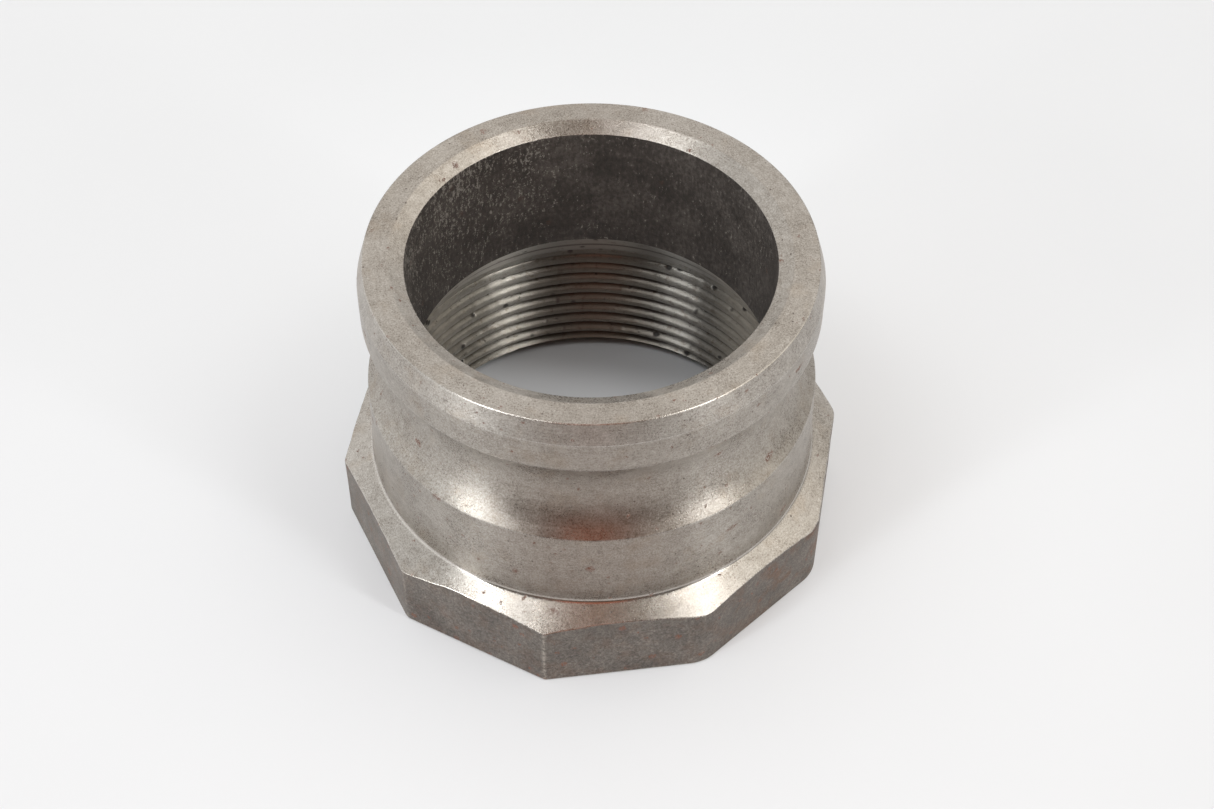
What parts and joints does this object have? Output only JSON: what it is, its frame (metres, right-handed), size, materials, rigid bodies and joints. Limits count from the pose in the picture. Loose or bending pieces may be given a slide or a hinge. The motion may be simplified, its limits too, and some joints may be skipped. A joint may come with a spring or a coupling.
{
  "type": "cam and groove coupling adapter",
  "caption": "Male cam-and-groove pipe adapter: turned cam end with nose face and rounded cam groove, ten-sided wrench base, tapered female pipe thread through the bore.",
  "frame": {"origin": "on the bore's axis, in the plane of the base face", "axes": "+Z along the bore axis towards the cam end; one wrench flat faces -Y"},
  "size_m": [0.0728, 0.0694, 0.0484],
  "materials": {
    "turned_steel": "satin, fine-grained machined steel; wrench flats and upper bore left as cast, darker, with rust specks"
  },
  "bodies": {
    "root": {"adapter_body": "turned_steel"}
  },
  "joints": []
}
